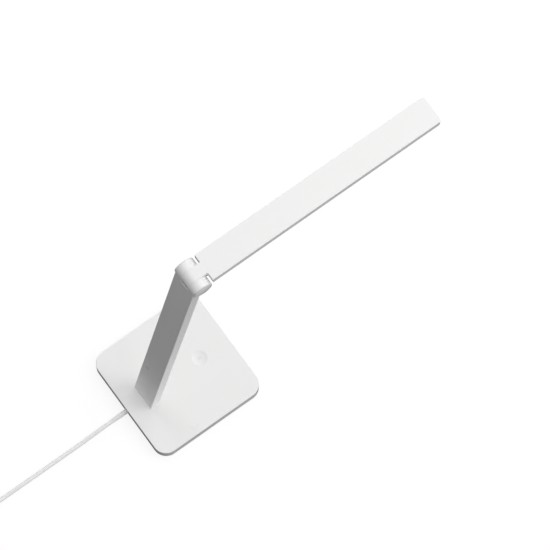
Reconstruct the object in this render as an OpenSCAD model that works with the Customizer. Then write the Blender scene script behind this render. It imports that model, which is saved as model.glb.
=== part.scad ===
// Folding LED desk lamp: a weighted base, a leaning flat arm and a flat head on a three-knuckle friction hinge.
// X points along the head, Y along the hinge and Z up. The origin is the middle of the foot pad's underside.

/* [Base] */
// Side of the square base
base_w = 160; // [133:1:200]
// Height of the base's top above the desk
base_h = 17; // [14:0.5:24]
// Corner radius of the base, seen from above
base_r = 18; // [14:1:30]
// Wall of the base cover
cover_wall = 2; // [1.6:0.1:2.4]
// Rounding of the cover's top edge
cover_edge = 0.8; // [0.4:0.1:1.4]
// Gap between the cover's rim and the desk
rim_gap = 0.6; // [0.3:0.1:1]
// Thickness of the foam foot pad
pad_t = 1.2; // [1:0.1:1.4]
// Thickness of the steel bottom plate
plate_t = 1.2; // [1:0.1:1.5]
// Thickness of the plate that spreads the arm's load
foot_plate_t = 3; // [2:0.5:4]
// Distance from the base's rear edge to the middle of the arm's foot
foot_inset = 31.8; // [30:0.1:40]

/* [Touch key] */
// Diameter of the dished touch key
dish_d = 20.5; // [16:0.5:26]
// Depth of the dish
dish_depth = 1.5; // [0.8:0.1:1.8]
// Width of the light window in the dish
window_w = 2.4; // [1.6:0.2:4]
// Length of the light window in the dish
window_l = 4.8; // [4:0.2:8]

/* [Arm] */
// Height of the hinge axis above the base's top
arm_rise = 400; // [300:5:480]
// Width of the arm
arm_w = 36.6; // [30:0.2:46]
// Thickness of the arm
arm_t = 12.8; // [10.6:0.2:15.4]
// Wall of the arm's hollow profile
arm_wall = 1.8; // [1.2:0.1:2.4]
// Rounding of the arm's long edges
arm_edge = 0.6; // [0.3:0.1:1]

/* [Head] */
// Reach of the head's tip from the hinge axis
head_reach = 352; // [280:1:425]
// Width of the head
head_w = 37.7; // [31:0.1:46]
// Thickness of the head
head_t = 12.8; // [10.6:0.2:15.4]
// Radius of the head's two tip corners
tip_r = 4; // [2:0.5:8]
// Rounding of the head's long edges
head_edge = 0.6; // [0.3:0.1:1]
// Wall over the LED board
head_roof = 1.8; // [1.4:0.1:2.4]
// Side wall of the head
head_wall = 1.7; // [1.2:0.1:2.4]
// Thickness of the opal diffuser
diffuser_t = 2; // [1.2:0.1:2.5]
// Number of LED chips
chips = 30; // [10:1:40]

/* [Hinge] */
// Distance of the hinge axis and of the touch key from the base's middle
hinge_x = 35; // [20:1:45]
// Gap from the axis to the arm and to the head, which lie flat on each other when folded
fold_gap = 0.4; // [0.3:0.05:0.8]
// Width of the middle knuckle and the neck
knuckle_w = 16; // [13:0.2:20]
// Width of each of the arm's two knuckles
prong_t = 11.4; // [10:0.1:13]
// Rise of an end cap's domed face
cap_rise = 1.9; // [1:0.1:3]
// Diameter of the hinge shaft
shaft_d = 8; // [6.6:0.2:9.6]
// Gap between the barrel and the head's square shoulders
shoulder_gap = 2.6; // [2:0.1:5]
// Depth of the arm's flat land below the axis
land_drop = 6.3; // [5:0.1:8]

/* [Clearances] */
// Running fit on the shaft, on the radius
run_fit = 0.05; // [0.02:0.01:0.1]
// Side play of the middle knuckle
side_gap = 0.1; // [0.1:0.05:0.3]
// Room round the middle knuckle in the arm
relief_gap = 0.4; // [0.3:0.05:0.6]
// Loose fit of plates and covers
loose_fit = 0.1; // [0.05:0.05:0.3]

/* [Cord] */
// Diameter of the mains cord
cord_d = 5; // [4.1:0.1:6]
// Diameter of the low-voltage lead
lead_d = 2.4; // [2:0.1:2.9]
// Turns of cord in the coil
coil_turns = 8.25; // [6.25:1:8.25]
// Outer radius of the coil, at the cord's middle
coil_r = 33; // [32:0.5:36]
// Gap between neighbouring turns in a layer
turn_gap = 0.6; // [0.5:0.1:0.8]
// Gap between the layers
layer_gap = 0.5; // [0.5:0.1:1]

/* [Hidden] */
$fn = 64;

white_paint = [0.93, 0.93, 0.92];
white_plastic = [0.90, 0.90, 0.89];
steel = [0.66, 0.67, 0.69];
iron = [0.30, 0.30, 0.32];
brass = [0.78, 0.65, 0.36];
board_green = [0.10, 0.38, 0.24];
foam_grey = [0.22, 0.22, 0.23];
opal = [0.97, 0.97, 0.95];

// Levels in the base
floor_z = pad_t + plate_t;
ceiling_z = base_h - cover_wall;
cord_r = cord_d / 2;
exit_z = floor_z + cord_r + 2.1;

// Places in the base
wall_x = base_w / 2;
boss_r = 4;
boss_at = wall_x - cover_wall - 12;
screw_r = 1.5;
screw_head_r = 3;
weight_half = boss_at - 3;
weight_corner = 12;
weight_screw_at = weight_half - 18;
bay_y0 = -20;
bay_y1 = 58;
bay_x1 = -8;
foot_x = foot_inset - wall_x;
key_x = hinge_x;
dish_r = dish_d / 2;
dish_lip = 0.2;
dish_flange = 2;
dish_flange_t = 1;
dish_bottom = ceiling_z - 1.2;
pad_disc_t = 0.3;
board_t = 1.6;
post_r = 2.5;
post_at = dish_r + dish_flange + post_r + 0.8;
key_board_top = dish_bottom - pad_disc_t;
weight_top = key_board_top - board_t - 1.5;
weight_t = weight_top - floor_z;

// Driver
tray_x = boss_r + 2 - boss_at;
tray_y = 24;
tray_l = bay_x1 - 4 - tray_x;
tray_w = 33;
tray_wall = 1.2;
tray_top = ceiling_z - foot_plate_t - 0.4;

// Arm and hinge frames
axis_z = base_h + arm_rise;
barrel_r = max(arm_t, head_t) + fold_gap;
arm_mid = barrel_r - arm_t / 2;
foot_run = hinge_x - foot_x;
arm_lean = acos(arm_mid / norm([foot_run, arm_rise])) - atan2(arm_rise, foot_run);
arm_l = arm_rise / cos(arm_lean) + arm_t;
prong_in = knuckle_w / 2 + side_gap;
cap_seat = prong_in + prong_t;
shaft_r = shaft_d / 2;
washer_recess = 0.8;
washer_r = shaft_r + 4;
sink_r = washer_r + 1;
sink_floor = cap_seat - 4.8;
cavity_top = barrel_r + 11;
foot_hold = 26;
foot_screw_r = 2;
foot_screw_y = arm_w / 2 - 7.3;
foot_screw_up = 12;
lead_r = lead_d / 2;
bead_r = lead_r + 0.3;
lead_y = (prong_in + washer_recess + sink_floor) / 2;
lead_inset = 2.7;
shaft_bore_r = lead_r + 0.9;
lead_window = lead_d + 1.4;
bush_r = shaft_r + 2;
shaft_end = cap_seat - 0.3;
spring_t = 0.5;
spring_rise = 0.4;
nut_t = 2.6;
nut_across = shaft_d + 5;

// Head levels, above the axis
shoulder_x = barrel_r + shoulder_gap;
head_top = barrel_r;
head_low = barrel_r - head_t;
bay_x = shoulder_x + 14.2;
bay_end = head_reach - 2.2;
rebate = 1.25;
diffuser_low = head_low + 0.3;
diffuser_top = diffuser_low + diffuser_t;
roof_z = head_top - head_roof;
led_board_t = 1.5;
led_board_w = 20;
led_board_x0 = bay_x + 4;
led_board_x1 = bay_end - 3;
chip_w = 3;
chip_t = 0.7;
chip_x0 = led_board_x0 + 14;
chip_step = (led_board_x1 - 10 - chip_x0) / (chips - 1);
reflector_x0 = led_board_x0 + 8;
reflector_t = 0.9;
lead_rise = 14;
lead_turn_x = bay_x + 2;

// Cord: clamp, levels, coil and route
clamp_x = -(wall_x - cover_wall - 6);
clamp_w = 6;
clamp_y = 12;
clamp_screw_y = 8;
clamp_low = exit_z - cord_r - 1.1;
relief_l = 22;
tie_t = 1.4;
tie_w = 8;
tie_grip = 0.1;
flat_r = cord_r * cos(30);
lie_z = cord_r + 0.1;
turn_step = cord_d + turn_gap;
layer_step = cord_d + layer_gap;
coil_layers = 4;
coil_steps = 24;
coil_z = tie_t + flat_r - tie_grip;
coil_top = coil_z + (coil_layers - 1) * layer_step;
cord_x = -(wall_x + relief_l);
coil_x = cord_x - 218;
coil_side = coil_x - coil_r;
run_route = [
    [cord_x, 0, exit_z], [cord_x - 10, 0, exit_z], [cord_x - 22, 0, level(lie_z, exit_z, 0.73)],
    [cord_x - 36, 0, level(lie_z, exit_z, 0.32)], [cord_x - 52, 0, level(lie_z, exit_z, 0.05)],
    [cord_x - 70, 0, lie_z], [cord_x - 103, 0, lie_z], [cord_x - 138, 0, lie_z], [cord_x - 173, 0, lie_z],
    [cord_x - 193, 0, level(lie_z, coil_z, 0.46)], [coil_x + 13, 0, coil_z], [coil_x + cord_d, 0, coil_z]
];
plug_x = coil_side + 53;
plug_y = coil_r + 87;
plug_t = 13.4;
plug_z = plug_t / 2 + 0.2;
tail_route = [
    [coil_side, coil_r + cord_d, coil_top], [coil_side, coil_r + 13, level(lie_z, coil_top, 0.92)],
    [coil_side, coil_r + 25, level(lie_z, coil_top, 0.6)],
    [coil_side + 1, coil_r + 39, level(lie_z, coil_top, 0.2)],
    [coil_side + 5, coil_r + 54, level(lie_z, coil_top, 0.02)], [coil_side + 14, coil_r + 69, lie_z],
    [coil_side + 26, coil_r + 80, level(lie_z, plug_z, 0.19)],
    [coil_side + 41, coil_r + 86, level(lie_z, plug_z, 0.79)],
    [plug_x - 5, plug_y, plug_z], [plug_x, plug_y, plug_z]
];
plug_relief_l = 18;
plug_l = 36;
plug_w = 35;
pin_gap = 18.6;
pin_l = 19;
pin_r = 2;
sleeve_r = 1.9;
sleeve_l = 10;

// Height that lies a share of the way from low to high
function level(low, high, share) = low + share * (high - low);

// ---------------------------------------------------------------- shared shapes

module rounded_rect(w, d, r) {
    square([w - 2 * r, d], center = true);
    square([w, d - 2 * r], center = true);
    for (x = [-1, 1], y = [-1, 1])
        translate([x * (w / 2 - r), y * (d / 2 - r)])
            circle(r);
}

// Upright slab with round corners in plan
module slab(w, d, r, z0, z1) {
    translate([0, 0, z0])
        linear_extrude(z1 - z0)
            rounded_rect(w, d, r);
}

// Half section of a disc of radius r and height h whose top edge is rounded by e
module top_edge_half(r, h, e) {
    square([r - e, h]);
    square([r, h - e]);
    translate([r - e, h - e])
        circle(e);
}

// Full section of a slab of width w and height h whose two top edges are rounded by e
module top_edge_section(w, h, e) {
    for (side = [0, 1])
        mirror([side, 0])
            top_edge_half(w / 2, h, e);
}

// Square slab with round corners in plan and a rounded top edge
module soft_slab(w, h, r, e) {
    for (x = [-1, 1], y = [-1, 1])
        translate([x * (w / 2 - r), y * (w / 2 - r), 0])
            rotate_extrude()
                top_edge_half(r, h, e);
    for (turn = [0, 90])
        rotate([90, 0, turn])
            linear_extrude(w - 2 * r, center = true)
                top_edge_section(w, h, e);
}

// Cylinder along Y between two places
module y_rod(r, y0, y1) {
    translate([0, y1, 0])
        rotate([90, 0, 0])
            cylinder(h = y1 - y0, r = r);
}

module y_ring(outer_r, inner_r, y0, y1) {
    difference() {
        y_rod(outer_r, y0, y1);
        y_rod(inner_r, y0 - 1, y1 + 1);
    }
}

// Round rod from one point to another
module rod(a, b, r) {
    run = b - a;
    level = norm([run[0], run[1]]);
    translate(a)
        rotate([0, atan2(level, run[2]), atan2(run[1], run[0])])
            cylinder(h = norm(run), r = r);
}

// Countersunk screw from the bottom plate upwards, also used as its hole
module flat_screw(x, y, length) {
    translate([x, y, pad_t])
        union() {
            cylinder(h = plate_t, r1 = screw_head_r, r2 = screw_r);
            cylinder(h = length, r = screw_r);
        }
}

module in_arm() {
    translate([hinge_x, 0, axis_z])
        rotate([0, arm_lean, 0])
            children();
}

module in_head() {
    translate([hinge_x, 0, axis_z])
        children();
}

// What lies under the base's top
module below_base_top() {
    translate([-500, -500, base_h - 100])
        cube([1000, 1000, 100]);
}

module at_corners(d) {
    for (x = [-1, 1], y = [-1, 1])
        translate([x * d, y * d, 0])
            children();
}

// ---------------------------------------------------------------- base

module dish_ball() {
    mouth_r = dish_r - dish_lip;
    ball_r = (mouth_r * mouth_r + dish_depth * dish_depth) / (2 * dish_depth);
    translate([key_x, 0, base_h + ball_r - dish_depth])
        sphere(ball_r, $fn = 128);
}

module window_bar(z0, z1) {
    translate([key_x, 0, z0])
        linear_extrude(z1 - z0) {
            square([window_l - window_w, window_w], center = true);
            for (x = [-1, 1])
                translate([x * (window_l - window_w) / 2, 0])
                    circle(window_w / 2);
        }
}

module foot_screw_places() {
    for (y = [-1, 1])
        translate([foot_x + foot_screw_up / 2 * tan(arm_lean), y * foot_screw_y, 0])
            children();
}

module clamp_screw_places() {
    for (y = [-1, 1])
        translate([clamp_x, y * clamp_screw_y, 0])
            children();
}

module key_posts(r, z0, z1) {
    for (x = [-1, 1])
        translate([key_x + x * post_at, 0, z0])
            cylinder(h = z1 - z0, r = r);
}

module base_cover() {
    color(white_paint)
        difference() {
            union() {
                difference() {
                    translate([0, 0, rim_gap])
                        soft_slab(base_w, base_h - rim_gap, base_r, cover_edge);
                    slab(base_w - 2 * cover_wall, base_w - 2 * cover_wall, base_r - cover_wall,
                         rim_gap - 1, ceiling_z);
                }
                at_corners(boss_at)
                    translate([0, 0, floor_z])
                        cylinder(h = ceiling_z - floor_z + 0.5, r = boss_r);
                translate([clamp_x - clamp_w / 2, -clamp_y, exit_z])
                    cube([clamp_w, 2 * clamp_y, ceiling_z - exit_z + 0.5]);
                key_posts(post_r, key_board_top, ceiling_z + 0.5);
            }
            for (x = [-1, 1], y = [-1, 1])
                flat_screw(x * boss_at, y * boss_at, 10);
            translate([key_x, 0, ceiling_z - 1])
                cylinder(h = cover_wall + 2, r = dish_r);
            key_posts(1, key_board_top - 1, key_board_top + 1.2);
            foot_screw_places()
                translate([0, 0, ceiling_z - 1])
                    cylinder(h = cover_wall + 2, r = foot_screw_r);
            translate([foot_x, 0, ceiling_z - 1])
                cylinder(h = cover_wall + 2, r = lead_r + 1);
            clamp_screw_places()
                translate([0, 0, exit_z - 1])
                    cylinder(h = 6, r = 1.25);
            rod([-wall_x - 5, 0, exit_z], [clamp_x + clamp_w, 0, exit_z], cord_r);
            rod([-wall_x - 5, 0, exit_z], [-wall_x + cover_wall, 0, exit_z], cord_r + 1.7);
        }
}

module base_weight() {
    color(iron)
        difference() {
            slab(2 * weight_half, 2 * weight_half, weight_corner, floor_z, weight_top);
            translate([-weight_half - 1, bay_y0, floor_z - 1])
                cube([weight_half + 1 + bay_x1, bay_y1 - bay_y0, weight_t + 2]);
            weight_screws_raw();
        }
}

module weight_screws_raw() {
    for (place = [[1, 1], [1, -1], [-1, -1]])
        flat_screw(place[0] * weight_screw_at, place[1] * weight_screw_at, plate_t + weight_t - 2);
}

module weight_screws() {
    color(steel)
        weight_screws_raw();
}

module bottom_screws() {
    color(steel)
        for (x = [-1, 1], y = [-1, 1])
            flat_screw(x * boss_at, y * boss_at, 9);
}

module bottom_plate() {
    side = base_w - 2 * cover_wall - 2 * loose_fit;
    color(steel)
        difference() {
            slab(side, side, base_r - cover_wall - loose_fit, pad_t, floor_z);
            for (x = [-1, 1], y = [-1, 1])
                flat_screw(x * boss_at, y * boss_at, 9);
            weight_screws_raw();
        }
}

module base_pad() {
    side = base_w - 2 * cover_wall - 8;
    color(foam_grey)
        difference() {
            slab(side, side, base_r - cover_wall - 4, 0, pad_t);
            at_corners(boss_at)
                translate([0, 0, -1])
                    cylinder(h = pad_t + 2, r = screw_head_r + 1);
        }
}

module touch_dish() {
    color(white_paint)
        difference() {
            union() {
                translate([key_x, 0, dish_bottom])
                    cylinder(h = base_h - dish_bottom, r = dish_r);
                translate([key_x, 0, ceiling_z - dish_flange_t])
                    cylinder(h = dish_flange_t, r = dish_r + dish_flange);
            }
            dish_ball();
            window_bar(dish_bottom - 1, base_h);
        }
}

module touch_window() {
    color(opal)
        difference() {
            window_bar(dish_bottom, base_h);
            dish_ball();
        }
}

module sensor_pad() {
    color(brass)
        translate([key_x, 0, key_board_top])
            difference() {
                cylinder(h = pad_disc_t, r = dish_r - 2);
                translate([0, 0, -1])
                    cylinder(h = pad_disc_t + 2, r = window_l / 2);
            }
}

module touch_board() {
    length = 2 * (post_at + post_r + 1);
    color(board_green)
        difference() {
            translate([key_x - length / 2, -11, key_board_top - board_t])
                cube([length, 22, board_t]);
            key_posts(1, key_board_top - board_t - 1, key_board_top + 1);
        }
}

module touch_screws() {
    color(steel) {
        key_posts(1, key_board_top - board_t, key_board_top + 1);
        key_posts(1.9, key_board_top - board_t - 0.9, key_board_top - board_t);
    }
}

module driver_tray() {
    color(white_plastic)
        difference() {
            translate([tray_x, tray_y, floor_z])
                cube([tray_l, tray_w, tray_top - floor_z]);
            translate([tray_x + tray_wall, tray_y + tray_wall, floor_z + tray_wall])
                cube([tray_l - 2 * tray_wall, tray_w - 2 * tray_wall, 20]);
        }
}

module driver_board() {
    board_z = floor_z + tray_wall;
    inset = tray_wall + loose_fit;
    color(board_green) {
        translate([tray_x + inset, tray_y + inset, board_z])
            cube([tray_l - 2 * inset, tray_w - 2 * inset, board_t]);
        translate([tray_x + 0.16 * tray_l, tray_y + 8, board_z + board_t])
            cube([14, 12, 5]);
        translate([tray_x + 0.6 * tray_l, tray_y + 10, board_z + board_t])
            cylinder(h = 5.5, r = 4);
        translate([tray_x + 0.76 * tray_l, tray_y + 20, board_z + board_t])
            cylinder(h = 4.5, r = 3);
        translate([tray_x + 0.52 * tray_l, tray_y + 22, board_z + board_t])
            cube([8, 5, 3]);
    }
}

module foot_plate() {
    color(steel)
        difference() {
            translate([foot_x, 0, 0])
                slab(arm_t + 25, arm_w + 9, 3, ceiling_z - foot_plate_t, ceiling_z);
            foot_screw_places()
                translate([0, 0, ceiling_z - foot_plate_t - 1])
                    cylinder(h = foot_plate_t + 2, r = foot_screw_r);
            translate([foot_x, 0, ceiling_z - foot_plate_t - 1])
                cylinder(h = foot_plate_t + 2, r = lead_r + 1);
        }
}

module foot_screws() {
    head_h = 2.2;
    head_r = 3.5;
    color(steel)
        foot_screw_places() {
            translate([0, 0, ceiling_z - foot_plate_t])
                cylinder(h = foot_plate_t + cover_wall + foot_screw_up, r = foot_screw_r);
            translate([0, 0, ceiling_z - foot_plate_t - head_h])
                cylinder(h = head_h, r = head_r);
        }
}

module cord_bush() {
    wall_in = wall_x - cover_wall;
    collar_r = cord_r + 1.7;
    flange_r = exit_z - floor_z - loose_fit;
    color(white_plastic)
        translate([0, 0, exit_z])
            rotate([0, -90, 0])
                rotate_extrude()
                    polygon([
                        [cord_r, wall_in - 1.6], [flange_r, wall_in - 1.6], [flange_r, wall_in],
                        [collar_r, wall_in], [collar_r, wall_x], [cord_r + 0.8, wall_x + 1.2],
                        [cord_r + 0.2, wall_x + relief_l], [cord_r, wall_x + relief_l]
                    ]);
}

module cord_clamp() {
    color(white_plastic)
        difference() {
            translate([clamp_x - clamp_w / 2, -clamp_y, clamp_low])
                cube([clamp_w, 2 * clamp_y, exit_z - clamp_low]);
            rod([clamp_x - clamp_w, 0, exit_z], [clamp_x + clamp_w, 0, exit_z], cord_r);
            clamp_screws_raw();
        }
}

module clamp_screws_raw() {
    clamp_screw_places()
        translate([0, 0, clamp_low])
            union() {
                cylinder(h = 1.5, r1 = 2.4, r2 = 1.25);
                cylinder(h = 8, r = 1.25);
            }
}

module clamp_screws() {
    color(steel)
        clamp_screws_raw();
}

module inner_cord() {
    bend = [tray_x + 4, 0, exit_z];
    color(white_plastic) {
        rod([-wall_x - relief_l, 0, exit_z], bend, cord_r);
        translate(bend)
            sphere(cord_r);
        rod(bend, [tray_x + 4, tray_y, exit_z], cord_r);
    }
}

// ---------------------------------------------------------------- arm

module arm_bar(w, t, r, z0, z1) {
    translate([-arm_mid, 0, z0])
        linear_extrude(z1 - z0)
            rounded_rect(t, w, r);
}

module arm_lead_line(r) {
    rod([lead_inset - arm_mid, lead_y, -cavity_top - 8], [0, lead_y, 0], r);
}

module arm_profile() {
    color(white_paint)
        difference() {
            in_arm()
                difference() {
                    union() {
                        arm_bar(arm_w, arm_t, arm_edge, -arm_l, 0);
                        y_rod(barrel_r, -cap_seat, cap_seat);
                    }
                    // room for the middle knuckle, with its flat land at the back
                    translate([-2 * barrel_r, -prong_in, -land_drop])
                        cube([4 * barrel_r, 2 * prong_in, 4 * barrel_r]);
                    y_rod(barrel_r + relief_gap, -prong_in, prong_in);
                    // seats of the end caps
                    for (side = [0, 1])
                        mirror([0, side, 0]) {
                            y_rod(barrel_r, cap_seat, cap_seat + arm_w);
                            y_rod(sink_r, sink_floor, cap_seat + 1);
                            y_rod(washer_r, prong_in - 1, prong_in + washer_recess);
                        }
                    y_rod(shaft_r, -cap_seat - 1, cap_seat + 1);
                    arm_bar(arm_w - 2 * arm_wall, arm_t - 2 * arm_wall, 0.5, -arm_l - 1, -cavity_top);
                    arm_lead_line(lead_r);
                }
            below_base_top();
        }
}

module foot_plug() {
    color(steel)
        difference() {
            in_arm()
                arm_bar(arm_w - 2 * arm_wall, arm_t - 2 * arm_wall, 0.5, -arm_l, -arm_l + arm_t + foot_hold);
            below_base_top();
            foot_screw_places()
                translate([0, 0, base_h - 1])
                    cylinder(h = foot_screw_up + 1, r = foot_screw_r);
            in_arm()
                rod([-arm_mid, 0, -arm_l], [-arm_mid, 0, -arm_l + 80], lead_r);
        }
}

module arm_lead() {
    high = [-arm_mid, 0, -cavity_top - 40];
    entry = [lead_inset - arm_mid, lead_y, -cavity_top - 8];
    color("dimgray") {
        in_arm() {
            rod([-arm_mid, 0, -arm_rise / cos(arm_lean) - 4], high, lead_r);
            translate(high)
                sphere(bead_r);
            rod(high, entry, lead_r);
            translate(entry)
                sphere(bead_r);
            arm_lead_line(lead_r);
            translate([0, lead_y, 0])
                sphere(bead_r);
            y_rod(lead_r, 0, lead_y);
        }
    }
}

module hinge_shaft() {
    color(steel)
        in_arm()
            difference() {
                union() {
                    y_rod(shaft_r, -sink_floor - 3, shaft_end);
                    y_rod(washer_r - 1, -sink_floor - 3, -sink_floor);
                }
                y_rod(shaft_bore_r, -3, shaft_end + 1);
                arm_lead_line(lead_r);
                // window for the lead, open over the head's whole travel
                rotate([90, 0, 0])
                    rotate([0, 0, -arm_lean - 98])
                        rotate_extrude(angle = 205)
                            translate([shaft_bore_r - 0.5, -lead_window / 2])
                                square([shaft_r, lead_window]);
            }
}

module thrust_washer(side) {
    in_arm()
        mirror([0, side, 0])
            y_ring(washer_r, shaft_r, knuckle_w / 2 + 0.03, prong_in + washer_recess);
}

module thrust_washer_left() {
    color(brass)
        thrust_washer(1);
}

module thrust_washer_right() {
    color(brass)
        thrust_washer(0);
}

// One dished spring washer, pressed at its inner edge
module disc_spring() {
    rotate_extrude()
        polygon([
            [shaft_r, 0], [washer_r - 0.4, spring_rise],
            [washer_r - 0.4, spring_rise + spring_t], [shaft_r, spring_t]
        ]);
}

module disc_springs() {
    color(steel)
        in_arm()
            translate([0, sink_floor, 0])
                rotate([-90, 0, 0]) {
                    disc_spring();
                    translate([0, 0, 2 * (spring_rise + spring_t) + 0.02])
                        mirror([0, 0, 1])
                            disc_spring();
                }
}

module hinge_nut() {
    nut_y = sink_floor + 2 * (spring_rise + spring_t) + 0.04;
    color(steel)
        in_arm()
            difference() {
                translate([0, nut_y, 0])
                    rotate([-90, 30, 0])
                        cylinder(h = nut_t, r = nut_across / 2 / cos(30), $fn = 6);
                y_rod(shaft_r, nut_y - 1, nut_y + nut_t + 1);
            }
}

// Domed round cover on one end of the barrel, with a groove at its foot and a spigot in the arm's recess
module end_cap() {
    groove_w = 0.5;
    groove_d = 1;
    rim_t = 0.2;
    rim_r = barrel_r - 0.3;
    dome_r = (rim_r * rim_r + cap_rise * cap_rise) / (2 * cap_rise);
    translate([0, cap_seat, 0])
        rotate([-90, 0, 0])
            rotate_extrude() {
                square([barrel_r - groove_d, groove_w]);
                intersection() {
                    translate([0, groove_w])
                        square([rim_r, rim_t + cap_rise]);
                    translate([0, groove_w + rim_t + cap_rise - dome_r])
                        circle(dome_r, $fn = 192);
                }
                translate([sink_r - 1, -1.5])
                    square([1, 2]);
            }
}

module end_cap_left() {
    color(white_paint)
        in_arm()
            mirror([0, 1, 0])
                end_cap();
}

module end_cap_right() {
    color(white_paint)
        in_arm()
            end_cap();
}

// ---------------------------------------------------------------- head

// Section of the head with rounded long edges, lying in the YZ plane
module head_section(w) {
    translate([0, head_top - head_t / 2])
        rounded_rect(w, head_t, head_edge);
}

module head_blank() {
    rotate([90, 0, 90])
        translate([0, 0, shoulder_x])
            linear_extrude(head_reach - tip_r - shoulder_x)
                head_section(head_w);
    for (y = [-1, 1])
        translate([head_reach - tip_r, y * (head_w / 2 - tip_r), 0])
            rotate_extrude()
                intersection() {
                    head_section(2 * tip_r);
                    translate([0, -1])
                        square([tip_r + 1, head_top + 2]);
                }
    translate([head_reach - tip_r, 0, 0])
        rotate([90, 0, 0])
            linear_extrude(head_w - 2 * tip_r, center = true)
                head_section(2 * tip_r);
}

module head_lead_line(r) {
    rod([shaft_r + 0.7, 0, (shaft_r + 0.7) * tan(lead_rise)],
        [lead_turn_x, 0, lead_turn_x * tan(lead_rise)], r);
}

module head_housing() {
    wide = head_w - 2 * head_wall;
    narrow = wide - 2 * rebate;
    color(white_paint)
        in_head()
            difference() {
                union() {
                    head_blank();
                    y_rod(barrel_r, -knuckle_w / 2, knuckle_w / 2);
                    translate([0, -knuckle_w / 2, head_low])
                        cube([shoulder_x + 1, knuckle_w, head_t]);
                }
                y_rod(bush_r, -knuckle_w, knuckle_w);
                head_lead_line(lead_r);
                translate([bay_x, -narrow / 2, head_low - 1])
                    cube([bay_end - bay_x, narrow, roof_z - head_low + 1]);
                translate([bay_x - rebate, -wide / 2, head_low - 1])
                    cube([bay_end - bay_x + 2 * rebate - 0.4, wide, diffuser_top - head_low + 1]);
            }
}

module hinge_bush() {
    color(brass)
        in_head()
            difference() {
                y_ring(bush_r, shaft_r + run_fit, -knuckle_w / 2, knuckle_w / 2);
                head_lead_line(lead_r);
            }
}

module head_lead() {
    turn = [lead_turn_x, 0, lead_turn_x * tan(lead_rise)];
    end_x = led_board_x0 + 5;
    board_under = roof_z - led_board_t;
    slope = atan2(board_under - lead_r - turn[2], end_x - lead_turn_x);
    color("dimgray")
        in_head() {
            head_lead_line(lead_r);
            translate(turn)
                sphere(bead_r);
            rod(turn, [end_x, 0, board_under - lead_r * cos(slope)], lead_r);
        }
}

module led_board() {
    color(steel)
        in_head()
            translate([led_board_x0, -led_board_w / 2, roof_z - led_board_t])
                cube([led_board_x1 - led_board_x0, led_board_w, led_board_t]);
}

module led_chips() {
    color("khaki")
        in_head()
            for (i = [0:chips - 1])
                translate([chip_x0 + i * chip_step, 0, roof_z - led_board_t - chip_t / 2])
                    cube([chip_w, chip_w, chip_t], center = true);
}

// Two sloping sides and two ends that throw the light down
module reflector_tray() {
    foot_y = (head_w - 2 * head_wall) / 2 - rebate - loose_fit;
    top_y = led_board_w / 2;
    top_z = roof_z - led_board_t;
    flank = [
        [foot_y, diffuser_top], [foot_y, diffuser_top + reflector_t], [top_y, top_z],
        [top_y - 1.5, top_z], [foot_y - 1.8, diffuser_top]
    ];
    color(white_plastic)
        in_head() {
            for (side = [0, 1])
                mirror([0, side, 0])
                    rotate([90, 0, 90])
                        translate([0, 0, reflector_x0])
                            linear_extrude(bay_end - loose_fit - reflector_x0)
                                polygon(flank);
            for (x = [reflector_x0, bay_end - loose_fit - reflector_t])
                translate([x, -foot_y + 1, diffuser_top])
                    cube([reflector_t, 2 * foot_y - 2, 1.4]);
        }
}

module diffuser() {
    wide = head_w - 2 * head_wall - 2 * loose_fit;
    x0 = bay_x - rebate + loose_fit;
    x1 = bay_end + rebate - 0.4 - loose_fit;
    color(opal)
        in_head()
            translate([x0, -wide / 2, diffuser_low])
                cube([x1 - x0, wide, diffuser_t]);
}

// ---------------------------------------------------------------- cord

// Smooth point between b and c, with a before and d after them
function between(a, b, c, d, t) =
    0.5 * (2 * b + (c - a) * t + (2 * a - 5 * b + 4 * c - d) * t * t + (3 * b - a - 3 * c + d) * t * t * t);

function neighbour(p, i) =
    i < 0 ? 2 * p[0] - p[1] :
    i >= len(p) ? 2 * p[len(p) - 1] - p[len(p) - 2] :
    p[i];

function smooth_route(p, steps) = concat(
    [for (i = [0:len(p) - 2], k = [0:steps - 1])
        between(neighbour(p, i - 1), p[i], p[i + 1], neighbour(p, i + 2), k / steps)],
    [p[len(p) - 1]]
);

function unit(v) = v / norm(v);

function heading(p, i) = unit(p[min(i + 1, len(p) - 1)] - p[max(i - 1, 0)]);

function ring_points(p, i, r, sides) =
    let (along = heading(p, i), side = unit(cross(along, [0, 0, 1])), up = cross(side, along))
    [for (k = [0:sides - 1]) p[i] + r * (cos(360 * k / sides) * side + sin(360 * k / sides) * up)];

// Closed round tube of radius r along the points p
module tube(p, r, sides) {
    rings = len(p);
    points = [for (i = [0:rings - 1]) each ring_points(p, i, r, sides)];
    start = [[for (k = [sides - 1:-1:0]) k]];
    finish = [[for (k = [0:sides - 1]) (rings - 1) * sides + k]];
    walls = [for (i = [0:rings - 2], k = [0:sides - 1])
        let (a = i * sides + k, b = i * sides + (k + 1) % sides)
        each [[a, b, b + sides], [a, b + sides, a + sides]]];
    polyhedron(points = points, faces = concat(start, walls, finish), convexity = 10);
}

function ease(x) = let (c = min(max(x, 0), 1)) c * c * (3 - 2 * c);

// Middle of the coiled cord after so many turns: it spirals in and out and climbs where the spiral turns back
function coil_point(turns) =
    let (
        per_layer = coil_turns / coil_layers,
        phase = (turns / per_layer) % 2,
        inward = phase < 1 ? phase : 2 - phase,
        r = coil_r - turn_step * per_layer * inward,
        angle = -90 - 360 * turns,
        climbs = [for (k = [1:coil_layers - 1]) ease((turns - k * per_layer) * 2 + 0.5)],
        z = coil_z + layer_step * (climbs * [for (c = climbs) 1])
    )
    [coil_x + r * cos(angle), coil_r + r * sin(angle), z];

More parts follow.
